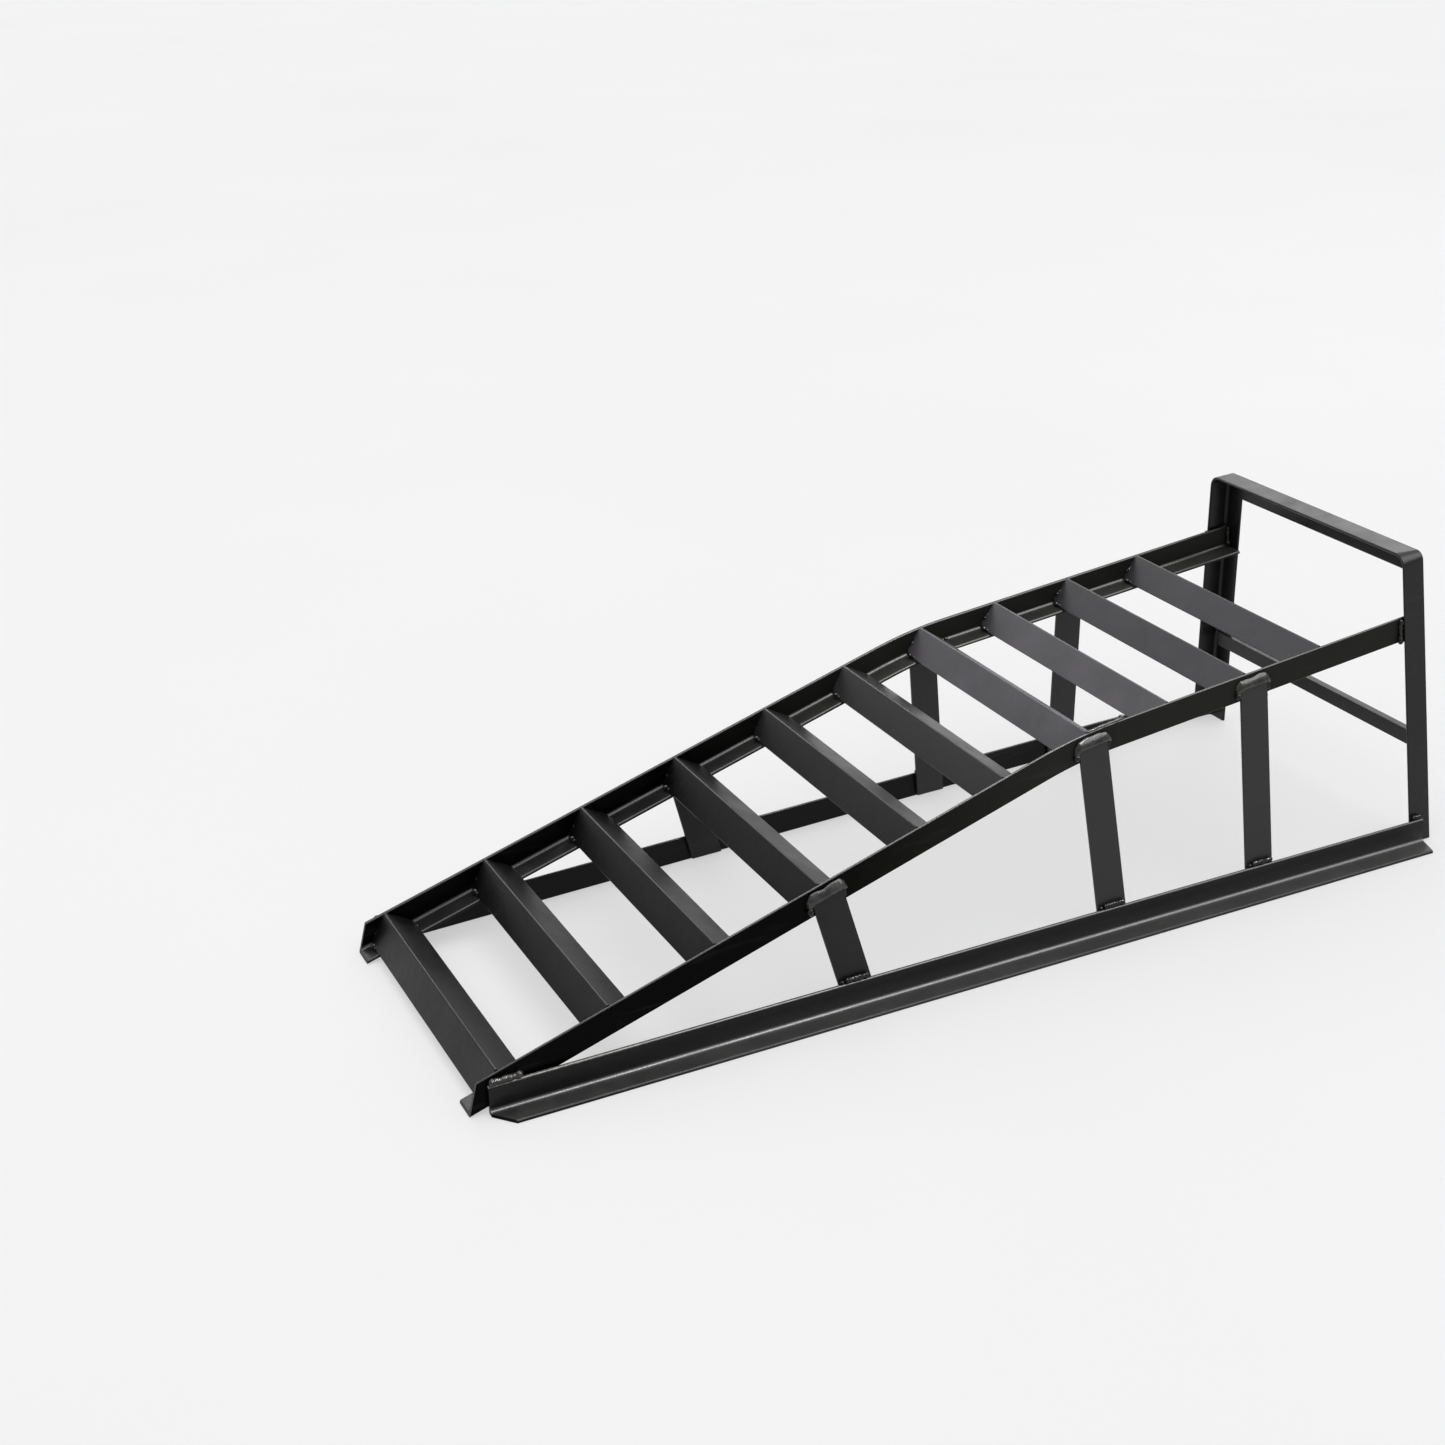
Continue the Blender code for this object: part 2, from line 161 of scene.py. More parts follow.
# noise patterns: features per metre, octaves, roughness, then distortion and stretch where given
CLOUD = (11.0, 4.0, 0.6)
RUB = (300.0, 3.0, 0.6)
SPECK = (420.0, 2.0, 0.7)
PATCH = (26.0, 5.0, 0.65, 0.6)
FILM = (60.0, 4.0, 0.6)
STREAK = (34.0, 3.0, 0.6, 0.0, (0.35, 3.0, 3.0))
GLOSS = (19.0, 5.0, 0.6)
ORANGE_PEEL = (520.0, 2.0, 0.5)
ROLLED_SKIN = (75.0, 3.0, 0.5)
BARE_SPECK = (380.0, 2.0, 0.6)
WELD_GLOSS = (200.0, 3.0, 0.6)
WELD_GRAIN = (700.0, 2.0, 0.5)
WELD_LUMPS = (190.0, 2.0, 0.4)
FLOOR_CLOUD = (1.4, 3.0)
FLOOR_GRAIN = (220.0, 3.0)

CLOUD_DARK = 0.75                    # the coat's cloudiness, as factors of its tone
CLOUD_LIGHT = 1.35
FILM_SHARE = 0.45                    # how much of its own colour each kind of dust or speck mixes in
SPECK_SHARE = 0.30
STREAK_SHARE = 0.16
BARE_SHARE = 0.30
PATCH_DULLING = 0.05                 # roughness that patches and streaks add
STREAK_DULLING = 0.06
TOE_SHINE = 0.2                      # share of the shine left on the dull toe
FLOOR_DARK = (0.375, 0.375, 0.378)
FLOOR_LIGHT = (0.390, 0.390, 0.393)
FLOOR_GLOW = 0.51


def scaled(colour, factor):
    """A colour made lighter or darker."""
    return tuple(factor * c for c in colour)


def paint(name, tone, tint, roughness, specular, top_specular, dust, rear_sheen_tone=None, root_sheen_tone=None):
    """Satin black paint on mill-finish steel: orange peel, faint cloudiness, fine dust and scuffs.
    With a rear tone, the coat is drawn lighter from the nose to the rear of the ramp: painted light
    for the brighter reflections there. With a tone near the floor, it is drawn lighter near the floor,
    a painted highlight for the broad sheen above the root, and rubbed on its top edge near the nose."""
    n = Nodes(name)
    cloud = n.ramp(n.noise(*CLOUD), 0.35, 0.66)
    colour = n.mix(cloud, scaled(tint, CLOUD_DARK * tone), scaled(tint, CLOUD_LIGHT * tone))
    # painted light: the coat drawn lighter towards the rear stands in for its brighter reflections there
    if rear_sheen_tone:
        colour = n.mix(n.along(*REAR_SHEEN_RUN), colour, scaled(tint, rear_sheen_tone))
    # painted highlight: lighter near the floor, for the broad sheen above the root fillet; the rubbed
    # top edge is real wear
    if root_sheen_tone:
        low = n.math("MULTIPLY", n.height(*ROOT_SHEEN_HEIGHTS), n.along(*ROOT_SHEEN_RUN))
        colour = n.mix(low, colour, scaled(tint, root_sheen_tone))
        edge = n.math("MULTIPLY", n.height(*RUBBED_TOP), n.along(*RUBBED_RUN))
        rubbed = n.math("MULTIPLY", edge, n.ramp(n.noise(*RUB), 0.42, 0.62, 0.25, 1.0))
        colour = n.mix(rubbed, colour, RUBBED_STEEL)
    speck = n.ramp(n.noise(*SPECK), 0.63, 0.74)
    patch = n.ramp(n.noise(*PATCH), 0.50, 0.72)
    film = n.math("MULTIPLY", n.facing_up(), n.ramp(n.noise(*FILM), 0.30, 0.75, 0.25, 1.0))
    colour = n.mix(n.math("MULTIPLY", film, dust * FILM_SHARE), colour, DUST)
    specks = n.math("MULTIPLY", speck, patch)
    colour = n.mix(n.math("MULTIPLY", specks, SPECK_SHARE), colour, DUST)
    streak = n.ramp(n.noise(*STREAK), 0.60, 0.74)
    colour = n.mix(n.math("MULTIPLY", streak, STREAK_SHARE), colour, SCUFF)
    n.link(colour, n.shader.inputs["Base Color"])
    gloss = n.ramp(n.noise(*GLOSS), 0.3, 0.7, roughness - 0.05, roughness + 0.06)
    gloss = n.math("ADD", gloss, n.math("MULTIPLY", patch, PATCH_DULLING))
    gloss = n.math("ADD", gloss, n.math("MULTIPLY", streak, STREAK_DULLING))
    n.link(gloss, n.shader.inputs["Roughness"])
    n.shader.inputs["Metallic"].default_value = 0.0
    shine = n.ramp(n.facing_up(0.15, 0.50), 0.0, 1.0, specular, top_specular)
    if root_sheen_tone:
        shine = n.math("MULTIPLY", shine, n.ramp(n.height(*DULL_TOE), 0.0, 1.0, TOE_SHINE, 1.0))
    n.link(shine, n.shader.inputs["Specular IOR Level"])
    peel = n.bump(n.noise(*ORANGE_PEEL), 0.00022, 0.35)
    n.link(n.bump(n.noise(*ROLLED_SKIN), 0.0011, 0.13, peel), n.shader.inputs["Normal"])
    return n.material


def weld_paint(name, tone, roughness, specular, mottle):
    """The same paint where it ran over a bead: glossier, mottled brown, with a few bare specks."""
    n = Nodes(name)
    cloud = n.ramp(n.noise(mottle, 4.0, 0.6), 0.40, 0.62)
    colour = n.mix(cloud, (0.45 * tone,) * 3, (1.75 * tone, 1.66 * tone, 1.54 * tone))
    bare = n.ramp(n.noise(*BARE_SPECK), 0.68, 0.76)
    colour = n.mix(n.math("MULTIPLY", bare, BARE_SHARE), colour, SLAG)
    n.link(colour, n.shader.inputs["Base Color"])
    gloss = n.ramp(n.noise(*WELD_GLOSS), 0.3, 0.7, roughness - 0.05, roughness + 0.12)
    n.link(gloss, n.shader.inputs["Roughness"])
    n.shader.inputs["Specular IOR Level"].default_value = specular
    grain = n.bump(n.noise(*WELD_GRAIN), 0.0002, 0.10)
    n.link(n.bump(n.noise(*WELD_LUMPS), 0.0010, 0.34, grain), n.shader.inputs["Normal"])
    return n.material


def floor_material():
    """Pale matt floor. It glows a little, which keeps it evenly pale and its shadows faint."""
    n = Nodes("studio_floor")
    colour = n.mix(n.ramp(n.noise(*FLOOR_CLOUD), 0.3, 0.7), FLOOR_DARK, FLOOR_LIGHT)
    n.link(colour, n.shader.inputs["Base Color"])
    n.shader.inputs["Emission Color"].default_value = (*WHITE, 1.0)
    n.shader.inputs["Emission Strength"].default_value = FLOOR_GLOW
    n.shader.inputs["Roughness"].default_value = 0.7
    n.shader.inputs["Specular IOR Level"].default_value = 0.1
    n.link(n.bump(n.noise(*FLOOR_GRAIN), 0.0004, 0.25), n.shader.inputs["Normal"])
    return n.material


# name, tone, tint, roughness, specular on upright and on level faces, dust, painted-light tone at the
# rear, painted-highlight tone near the floor
RAIL_PAINT = paint("paint_rail", 0.0010, (1.0, 1.0, 0.88), 0.32, 0.035, 0.45, 0.6, 0.018)
BASE_PAINT = paint("paint_base", 0.0050, NEUTRAL, 0.34, 0.20, 0.62, 1.3, None, 0.0330)
# darker copy of the base paint for the left base angle: painted shade on its inner face
SHADED_FAR_BASE_PAINT = paint("paint_base_left_painted_shade", 0.0038, NEUTRAL, 0.34, 0.13, 0.50, 1.2)
TREAD_PAINT = paint("paint_tread", 0.0020, (1.0, 0.99, 1.02), 0.33, 0.15, 0.20, 0.25, 0.042)
# lighter copies of the tread paint for the treads behind the bend: painted reflection, toned down again
# on the rearmost treads
DECK_SHEEN_PAINT = paint("paint_deck_tread", 0.0510, VIOLET, 0.42, 0.45, 0.45, 0.2)
DECK_REAR_SHEEN_PAINT = paint("paint_deck_rear_tread", 0.0220, VIOLET, 0.42, 0.34, 0.40, 0.2)
HOOP_PAINT = paint("paint_hoop", 0.0050, NEUTRAL, 0.34, 0.28, 0.26, 0.9)
STRUT_PAINT = paint("paint_upright", 0.0095, NEUTRAL, 0.34, 0.20, 0.30, 0.3, 0.029)
# name, tone, roughness, specular, mottling per metre
WELD = weld_paint("painted_weld", 0.006, 0.12, 0.30, 120.0)
WELD_DULL = weld_paint("painted_weld_cap", 0.028, 0.19, 0.46, 85.0)

NODE_PAINT = (
    ("side_rail", RAIL_PAINT), ("entry_angle", TREAD_PAINT),
    ("base_angle_right", BASE_PAINT), ("base_angle_left", SHADED_FAR_BASE_PAINT),
    ("wheel_stop_hoop", HOOP_PAINT), ("rear_cross_bar", HOOP_PAINT), ("upright_", STRUT_PAINT),
)


def paint_for(node):
    """The paint of a CAD node, by its name. Whatever has no paint of its own is a weld."""
    if node.startswith("tread_"):
        number = int(node.split("_")[1])
        # treads behind the bend get the lighter copies, as painted reflection
        if number >= FIRST_DECK_REAR_TREAD:
            return DECK_REAR_SHEEN_PAINT
        return DECK_SHEEN_PAINT if number >= FIRST_DECK_TREAD else TREAD_PAINT
    for start, material in NODE_PAINT:
        if node.startswith(start):
            return material
    return WELD


SHARP_ANGLE = math.radians(38)
MERGE_DISTANCE = 0.01 * MM


def smoothing_group():
    """Node group that joins split vertices and shades everything smooth but the sharp edges."""
    group = bpy.data.node_groups.new("smooth_round_edges", "GeometryNodeTree")
    group.interface.new_socket("Geometry", in_out="INPUT", socket_type="NodeSocketGeometry")
    group.interface.new_socket("Geometry", in_out="OUTPUT", socket_type="NodeSocketGeometry")
    start = group.nodes.new("NodeGroupInput")
    end = group.nodes.new("NodeGroupOutput")
    merge = group.nodes.new("GeometryNodeMergeByDistance")
    merge.inputs["Distance"].default_value = MERGE_DISTANCE
    faces = group.nodes.new("GeometryNodeSetShadeSmooth")
    faces.domain = "FACE"
    edges = group.nodes.new("GeometryNodeSetShadeSmooth")
    edges.domain = "EDGE"
    edges.inputs["Shade Smooth"].default_value = False
    angle = group.nodes.new("GeometryNodeInputMeshEdgeAngle")
    sharp = group.nodes.new("ShaderNodeMath")
    sharp.operation = "GREATER_THAN"
    sharp.inputs[1].default_value = SHARP_ANGLE
    group.links.new(start.outputs[0], merge.inputs["Geometry"])
    group.links.new(merge.outputs["Geometry"], faces.inputs["Geometry"])
    group.links.new(faces.outputs["Geometry"], edges.inputs["Geometry"])
    group.links.new(angle.outputs["Unsigned Angle"], sharp.inputs[0])
    group.links.new(sharp.outputs[0], edges.inputs["Selection"])
    group.links.new(edges.outputs["Geometry"], end.inputs[0])
    return group


def paint_nodes():
    """Paint every CAD member, and keep its flat faces flat-looking beside the rounded edges."""
    group = smoothing_group()
    for node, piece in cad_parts.items():
        piece.data.materials.clear()
        piece.data.materials.append(paint_for(node))
        smooth = piece.modifiers.new("smooth", "NODES")
        smooth.node_group = group
        even = piece.modifiers.new("even", "WEIGHTED_NORMAL")
        even.mode = "FACE_AREA"
        even.weight = 90
        even.keep_sharp = True


# ---------------------------------------------------------------- weld beads
UP = Vector((0, 0, 1))
REARWARD = Vector((1, 0, 0))
X_AXIS = 0
Z_AXIS = 2
PHASES = 6.28                        # phases are drawn from 0 to about a full turn

BEAD_AROUND = 20
BEAD_FEWEST_RINGS = 14
RINGS_PER_RIPPLE = 6
RIPPLE_DEPTH = 0.08
END_ROUNDING = 0.55                  # length of a bead's rounded end, in widths of the bead
END_SMALLEST = 0.04                  # an end never shrinks quite to a point
BLOB_ROWS = 9
BLOB_AROUND = 16

# each bead's form: width, height and ripple pitch in metres, and its ripples' bow in widths
NOSE_BEAD = (0.0060, 0.0052, 0.0042, 0.5)
HOOP_OUTER_BEAD = (0.0044, 0.0040, 0.0026, 0.5)
HOOP_INNER_BEAD = (0.0052, 0.0050, 0.0026, 0.5)
HOOP_FOOT_BEAD = (0.0044, 0.0038, 0.0026, 0.5)
CROSS_BAR_BEAD = (0.0048, 0.0044, 0.0026, 0.5)
FOOT_BEAD = (0.0052, 0.0048, 0.0034, 0.5)
FRONT_RUN = (0.0048, 0.0044, 0.0022, 0.4)
REAR_RUN = (0.0028, 0.0026, 0.0020, 0.4)
TACK_BEAD = (0.0030, 0.0030, 0.0021, 0.4)
BEND_BEAD = (0.0030, 0.0026, 0.0023, 0.4)

# radius and height of each blob, in metres
RUN_BLOB = (0.0034, 0.0030)
FOOT_BLOB = (0.0019, 0.0014)
TOE_TACK = (0.0030, 0.0022)
INNER_TACK = (0.0022, 0.0016)
HEEL_TACK = (0.0022, 0.0017)
BEND_BLOB = (0.0024, 0.0020)


def mesh_piece(name, mesh, material):
    """Turn a bmesh into a smooth piece that moves with the ramp."""
    data = bpy.data.meshes.new(name)
    bmesh.ops.recalc_face_normals(mesh, faces=mesh.faces)
    mesh.to_mesh(data)
    mesh.free()
    data.materials.append(material)
    data.shade_smooth()
    piece = bpy.data.objects.new(name, data)
    bpy.context.scene.collection.objects.link(piece)
    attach(piece, BODY)
    return piece


def skin(mesh, loops):
    """Faces between closed loops of vertices, and one over each end."""
    count = len(loops[0])
    for first, second in zip(loops, loops[1:]):
        for i in range(count):
            j = (i + 1) % count
            mesh.faces.new((first[i], first[j], second[j], second[i]))
    mesh.faces.new(list(reversed(loops[0])))
    mesh.faces.new(loops[-1])


def round_end(distance, reach):
    """0 at an end, rising as a quarter circle to 1 where distance has grown to reach."""
    return math.sqrt(max(0.0, 1 - (1 - min(1.0, distance / reach)) ** 2))


def add_bead(mesh, start, end, wide, proud, form, seed):
    """Rippled bead from start to end. Each ripple laps the one before it, as a puddle froze."""
    chance = random.Random(seed)
    width, height, pitch, bow = form
    length = (end - start).length
    along = (end - start).normalized()
    rings = max(BEAD_FEWEST_RINGS, int(length / pitch * RINGS_PER_RIPPLE))
    wobble = [chance.uniform(-1, 1) for _ in range(6)]
    loops = []
    for k in range(rings + 1):
        share = k / rings
        near_end = min(share, 1 - share) * length
        cap = min(1.0, round_end(near_end, END_ROUNDING * width) + END_SMALLEST)
        # the welder's hand sways and dwells, in a slow and a quick wave
        sway = 0.10 * wobble[0] * math.sin(9 * share + wobble[1] * 3)
        sway += 0.06 * wobble[2] * math.sin(23 * share + wobble[3] * 3)
        swell = 1 + 0.10 * math.sin(14 * share + wobble[4] * 3)
        swell += 0.06 * math.sin(31 * share + wobble[5])
        loop = []
        for i in range(BEAD_AROUND):
            angle = 2 * math.pi * i / BEAD_AROUND
            lag = bow * width * math.cos(angle) ** 2
            phase = ((share * length + lag) / pitch) % 1.0
            ripple = 1 + RIPPLE_DEPTH * (phase ** 0.6 - 0.5)
            side = math.cos(angle) * width / 2 * swell * (1 + (ripple - 1) * 0.6)
            rise = math.sin(angle) * height / 2 * ripple * swell
            point = start + along * (share * length) + wide * (side + sway * width) * cap
            loop.append(mesh.verts.new(point + proud * (rise * cap)))
        loops.append(loop)
    skin(mesh, loops)


def add_blob(mesh, centre, wide, proud, size, seed):
    """Round tack or spatter ball, slightly lumpy, its own axis along proud."""
    chance = random.Random(seed)
    radius, height = size
    third = wide.cross(proud).normalized()
    lobes = [(chance.uniform(0, PHASES), chance.uniform(0.04, 0.10)) for _ in range(3)]
    grid = []
    for r in range(1, BLOB_ROWS):
        polar = math.pi * r / BLOB_ROWS
        row = []
        for i in range(BLOB_AROUND):
            angle = 2 * math.pi * i / BLOB_AROUND
            waves = [big * math.sin((k + 2) * angle + shift) for k, (shift, big) in enumerate(lobes)]
            lump = 1 + sum(waves)
            flat = radius * math.sin(polar) * lump
            point = centre + wide * (flat * math.cos(angle)) + third * (flat * math.sin(angle))
            row.append(mesh.verts.new(point + proud * (height * math.cos(polar))))
        grid.append(row)
    top = mesh.verts.new(centre + proud * height)
    low = mesh.verts.new(centre - proud * height)
    for i in range(BLOB_AROUND):
        j = (i + 1) % BLOB_AROUND
        mesh.faces.new((top, grid[0][i], grid[0][j]))
        mesh.faces.new((low, grid[-1][j], grid[-1][i]))
        for upper, lower in zip(grid, grid[1:]):
            mesh.faces.new((upper[i], lower[i], lower[j], upper[j]))


def spatter(mesh, centre, wide, proud, reach, count, seed):
    """A few tiny balls thrown beside a weld."""
    chance = random.Random(seed)
    third = wide.cross(proud).normalized()
    for k in range(count):
        spot = centre + wide * chance.uniform(-reach, reach)
        spot += third * chance.uniform(-reach, reach) * 0.5
        radius = chance.uniform(0.25, 0.6) * MM
        add_blob(mesh, spot, wide, proud, (radius, radius * 0.8), seed * 31 + k)


def box_ends(node):
    """Low corner, high corner and middle of a CAD node's box."""
    low, high = (Vector(c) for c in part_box(node))
    return low, high, (low + high) / 2


# ---------------------------------------------------------------- welds on the uprights
# the rail's tilt at each upright's head
CAP_TILT = {1: math.radians(16.05), 2: math.radians(8.5), 3: math.radians(5.45)}
CAP_HALF = 0.0195                    # half the cap's length along the rail
CAP_BASE = -0.0046                   # its lower lip, from the middle of the CAD weld
CAP_TALL = 0.0088
CAP_PROUD = 0.0048
CAP_END = 0.006                      # length of its rounded ends
CAP_RINGS = 46
CAP_PITCH = 0.0026
CAP_RIPPLE = 0.00022
REAR_DROP = 0.0030                   # its rear end hangs by this, over the run
REAR_DROP_RUN = 0.0045
FRONT_HOOK = 0.0040                  # and its front end hooks down by this
FRONT_HOOK_RUN = 0.006
FRONT_RUN_LENGTH = 0.0085
REAR_RUN_LENGTH = 0.0100
HEAD_SPECKS = 5
HEAD_SPECK_REACH = 0.020


def cap_section(s, shift):
    """The cap's outline s metres along from its middle: (across the rail, out from it) pairs."""
    rise = round_end(CAP_HALF - abs(s), CAP_END) * 0.97 + 0.03
    tall = CAP_TALL * (0.55 + 0.45 * rise)
    proud = CAP_PROUD * (0.35 + 0.65 * rise)
    phase = ((s + CAP_HALF) / CAP_PITCH) % 1.0
    lift = CAP_RIPPLE * (phase ** 0.7 - 0.5)
    wave = 0.0005 * math.sin(190 * s + shift[0]) + 0.0003 * math.sin(430 * s + shift[1])
    drop = REAR_DROP * (1 - min(1.0, (CAP_HALF - s) / REAR_DROP_RUN))
    drop += FRONT_HOOK * (1 - min(1.0, (CAP_HALF + s) / FRONT_HOOK_RUN))
    outline = (
        (0.0, 0.0), (0.0, proud * 0.86), (0.0008, proud + lift),
        (0.0022, proud * 0.985 + lift * 1.2), (0.0040, proud * 0.86 + lift),
        (tall * 0.70, proud * 0.66 + lift), (tall * 0.90, proud * 0.40),
        (tall + wave, proud * 0.16), (tall + wave, 0.0),
    )
    return [(CAP_BASE - drop + across, outwards) for across, outwards in outline]


def head_weld(word, side, number):
    """Broad flattened fillet over an upright's top end, hooked down at the front corner."""
    node = f"upright_head_weld_{word}_{number}"
    low, high, middle = box_ends(node)
    tilt = CAP_TILT[number]
    along = Vector((math.cos(tilt), 0, math.sin(tilt)))
    normal = Vector((-math.sin(tilt), 0, math.cos(tilt)))
    out = Vector((0, side, 0))
    centre = Vector((middle.x, side * min(abs(low.y), abs(high.y)), middle.z))
    chance = random.Random(number * 7 + side)
    shift = [chance.uniform(0, PHASES) for _ in range(2)]
    mesh = bmesh.new()
    loops = []
    for k in range(CAP_RINGS + 1):
        s = -CAP_HALF + 2 * CAP_HALF * k / CAP_RINGS
        ring = centre + along * s
        loops.append([mesh.verts.new(ring + normal * n + out * o) for n, o in cap_section(s, shift)])
    skin(mesh, loops)
    piece = mesh_piece(f"weld_cap_{word}_{number}", mesh, WELD_DULL)
    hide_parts(node)
    head_runs(word, number, centre, along, normal, out)


def head_runs(word, number, centre, along, normal, out):
    """Beads that run from the cap down both edges of the upright, a blob and a few specks."""
    mesh = bmesh.new()
    down = Vector((0.12, 0, -1)).normalized()
    front = centre - along * (CAP_HALF - 0.0030) - normal * 0.0040 + out * 0.0012
    rear = centre + along * (CAP_HALF - 0.0028) - normal * 0.0035 + out * 0.0011
    blob = front + down * 0.0062 + out * 0.0006 - along * 0.0010
    specks = centre - normal * 0.012 + out * 0.0005
    add_bead(mesh, front, front + down * FRONT_RUN_LENGTH, along, out, FRONT_RUN, 3 + number)
    add_blob(mesh, blob, along, out, RUN_BLOB, 5 + number)
    add_bead(mesh, rear, rear + down * REAR_RUN_LENGTH, along, out, REAR_RUN, 9 + number)
    spatter(mesh, specks, along, out, HEAD_SPECK_REACH, HEAD_SPECKS, 17 + number)
    mesh_piece(f"weld_runs_{word}_{number}", mesh, WELD)


def foot_weld(word, side, number):
    """Fillet between an upright's foot and the base angle, with a blob at its front end."""
    node = f"upright_foot_weld_{word}_{number}"
    low, high, middle = box_ends(node)
    out = Vector((0, side, 0))
    wide = (out * 0.7 + UP * 0.7).normalized()
    proud = (UP * 0.7 - out * 0.7).normalized()
    start = Vector((low.x + 0.002, middle.y - side * 0.0002, middle.z + 0.0002))
    end = Vector((high.x, middle.y + side * 0.0003, middle.z + 0.0002))
    mesh = bmesh.new()
    add_bead(mesh, start, end, wide, proud, FOOT_BEAD, 40 + number)
    add_blob(mesh, start - Vector((0.0022, 0, 0.0004)), out, UP, FOOT_BLOB, 60 + number)
    piece = mesh_piece(f"foot_bead_{word}_{number}", mesh, WELD)
    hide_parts(node)


# ---------------------------------------------------------------- other welds of the CAD
BEAD_GROWTH = 0.001
NOSE_BLOBS = ((0.12, 0.0030), (0.90, 0.0034))
HOOP_OUTER_BLOBS = ((0.10, 0.0034), (0.32, 0.0026), (0.88, 0.0028))
HOOP_INNER_BLOBS = ((0.10, 0.0040), (0.95, 0.0025))
HOOP_FOOT_BLOBS = ((0.2, 0.0022),)


def plain_bead(node, name, wide, proud, form, seed, axis, grow=0.0, blobs=(), material=WELD):
    """Rippled bead in place of a CAD bead, along the axis it runs on, longer by grow at each end.
    Each blob is its place as a share of the bead's length, and its radius."""
    low, high, middle = box_ends(node)
    start = middle.copy()
    end = middle.copy()
    start[axis] = low[axis] - grow
    end[axis] = high[axis] + grow
    mesh = bmesh.new()
    add_bead(mesh, start, end, wide, proud, form, seed)
    for share, radius in blobs:
        spot = start.lerp(end, share) + proud * radius * 0.2
        add_blob(mesh, spot, wide, proud, (radius, radius * 0.85), seed + 3)
    piece = mesh_piece(name, mesh, material)
    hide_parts(node)


def side_welds(word, side):
    """The rail's nose weld, the hoop's three and the cross bar's, on one side of the ramp."""
    out = Vector((0, side, 0))
    outer_back = (REARWARD + out).normalized()
    inner_back = (REARWARD - out).normalized()
    plain_bead(f"nose_weld_{word}", f"nose_bead_{word}", out, UP, NOSE_BEAD, 11, X_AXIS,
               blobs=NOSE_BLOBS, material=WELD_DULL)
    plain_bead(f"hoop_outer_weld_{word}", f"hoop_outer_bead_{word}", REARWARD, out, HOOP_OUTER_BEAD,
               21, Z_AXIS, BEAD_GROWTH, HOOP_OUTER_BLOBS)
    plain_bead(f"hoop_inner_weld_{word}", f"hoop_inner_bead_{word}", outer_back, inner_back,
               HOOP_INNER_BEAD, 31, Z_AXIS, BEAD_GROWTH, HOOP_INNER_BLOBS)
    plain_bead(f"hoop_foot_weld_{word}", f"hoop_foot_bead_{word}", out, UP, HOOP_FOOT_BEAD,
               41, X_AXIS, BEAD_GROWTH, HOOP_FOOT_BLOBS)
    plain_bead(f"cross_bar_weld_{word}", f"cross_bar_bead_{word}", out, REARWARD, CROSS_BAR_BEAD,
               51, Z_AXIS)


# ---------------------------------------------------------------- small welds the CAD leaves out
TALL_TREAD = 0.0245                  # treads up to the bend are tilted more, so they stand taller
HEEL_RISE_STEEP = 0.010              # height of their heel's tack above the tread's lower edge
HEEL_RISE_FLAT = 0.0035              # and of the other treads'
LEG_CLIMB = 0.55                     # share of the front leg that the short bead climbs
SPECK_REACH = 0.010
TACK_SEED = 100
ENTRY_TACK_SEED = 300


def tread_tacks(node, seed, specks=4):
    """Tacks where a tread meets the rails: two balls at its toe, one at its heel, a short bead up
    its front leg, and a few specks."""
    low, high, middle = box_ends(node)
    heel_rise = HEEL_RISE_STEEP if high.z - low.z > TALL_TREAD else HEEL_RISE_FLAT
    leg_face = Vector((-0.7, 0, 0.7))
    mesh = bmesh.new()
    for _, side in SIDES:
        out = Vector((0, side, 0))
        wall = side * (max(abs(low.y), abs(high.y)) - 0.0002)
        toe = Vector((low.x + 0.0004, wall - side * 0.0085, low.z + 0.0026))
        inner = toe - out * 0.0050 + Vector((0.0008, 0, -0.0004))
        corner = Vector((low.x + 0.0045, wall - side * 0.0012, low.z + 0.0085))
        ridge = Vector((middle.x - 0.0035, wall - side * 0.0012, high.z - 0.0055))
        heel = Vector((high.x + 0.0006, wall - side * 0.0070, low.z + heel_rise))
        add_blob(mesh, toe, REARWARD, UP, TOE_TACK, seed + side)
        add_blob(mesh, inner, REARWARD, UP, INNER_TACK, seed + 5 + side)
        add_bead(mesh, corner, corner.lerp(ridge, LEG_CLIMB), out, leg_face, TACK_BEAD, seed + 11 + side)
        add_blob(mesh, heel, REARWARD, UP, HEEL_TACK, seed + 17 + side)
        spatter(mesh, toe - out * 0.006, REARWARD, UP, SPECK_REACH, specks, seed + 23 + side)
    mesh_piece(f"{node}_tacks", mesh, WELD)


BEND_BEAD_LENGTH = 0.0405
BEND_BEAD_TILT = math.radians(7.6)


def bend_bead():
    """Short bead along the right rail's top edge, just behind the bend."""
    _, ridge_high, ridge = box_ends(f"tread_{FIRST_DECK_TREAD}")
    rail_low, _, _ = box_ends("side_rail_right")
    along = Vector((math.cos(BEND_BEAD_TILT), 0, math.sin(BEND_BEAD_TILT)))
    proud = Vector((-math.sin(BEND_BEAD_TILT), 0, math.cos(BEND_BEAD_TILT)))
    inwards = Vector((0, 1, 0))
    start = Vector((ridge.x - 0.0045, rail_low.y + 0.0016, ridge_high.z + 0.0002))
    end = start + along * BEND_BEAD_LENGTH
    mesh = bmesh.new()
    add_bead(mesh, start, end, inwards, proud, BEND_BEAD, 71)
    add_blob(mesh, end + Vector((-0.002, 0.0012, 0.0004)), inwards, proud, BEND_BLOB, 73)
    mesh_piece("bend_bead_right", mesh, WELD_DULL)


